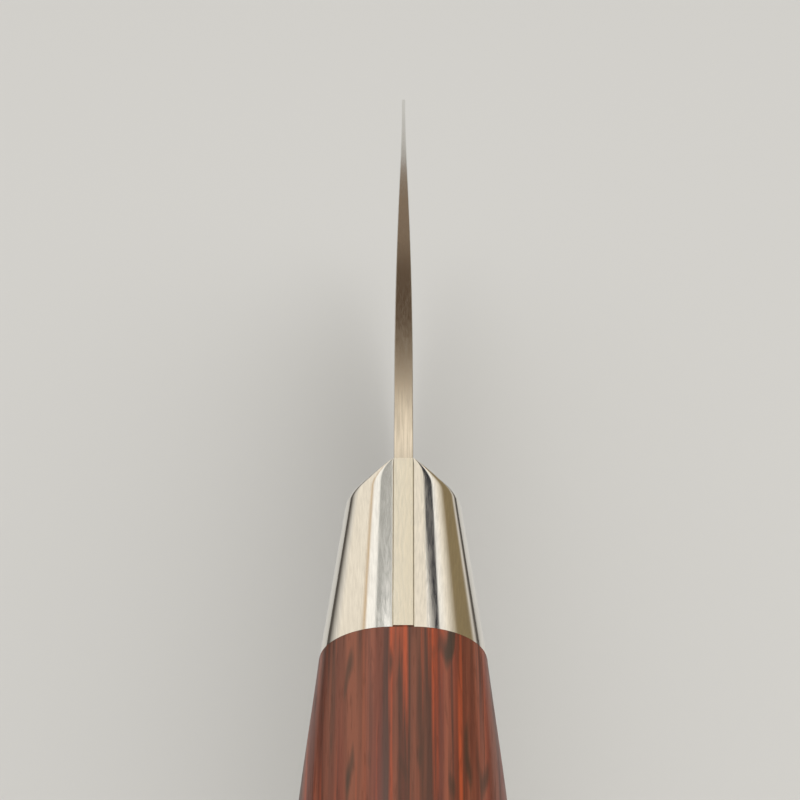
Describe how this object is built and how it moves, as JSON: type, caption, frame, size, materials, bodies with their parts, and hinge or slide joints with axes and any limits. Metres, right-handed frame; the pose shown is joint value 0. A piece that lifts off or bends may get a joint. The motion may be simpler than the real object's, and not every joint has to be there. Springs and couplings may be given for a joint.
{
  "type": "gyuto knife",
  "caption": "Gyuto chef's knife: tall thin pointed blade with a convex grind and a long taper, a long flared polished bolster and a rounded red-brown wooden handle with flush rivets.",
  "frame": {"origin": "on the ground plane of the upright knife, below the middle of its overall length, in its middle plane", "axes": "+X along the knife to the tip, +Y to the knife's left side, +Z from the edge to the spine"},
  "size_m": [0.329, 0.0192, 0.0443],
  "materials": {
    "blade_steel": "finely ground and polished stainless steel, lengthwise on the spine",
    "bolster_metal": "mirror-polished nickel silver with fine lengthwise buffing lines",
    "handle_wood": "lacquered red-brown hardwood with fine lengthwise streaks and dark flecks",
    "rivet_metal": "polished nickel silver, flush with the wood"
  },
  "bodies": {
    "root": {"blade": "blade_steel", "bolster_left": "bolster_metal", "bolster_right": "bolster_metal", "bolster_pin_upper": "bolster_metal", "bolster_pin_lower": "bolster_metal", "handle": "handle_wood", "rivet_front_female": "rivet_metal", "rivet_front_male": "rivet_metal", "rivet_middle_female": "rivet_metal", "rivet_middle_male": "rivet_metal", "rivet_rear_female": "rivet_metal", "rivet_rear_male": "rivet_metal"}
  },
  "joints": []
}
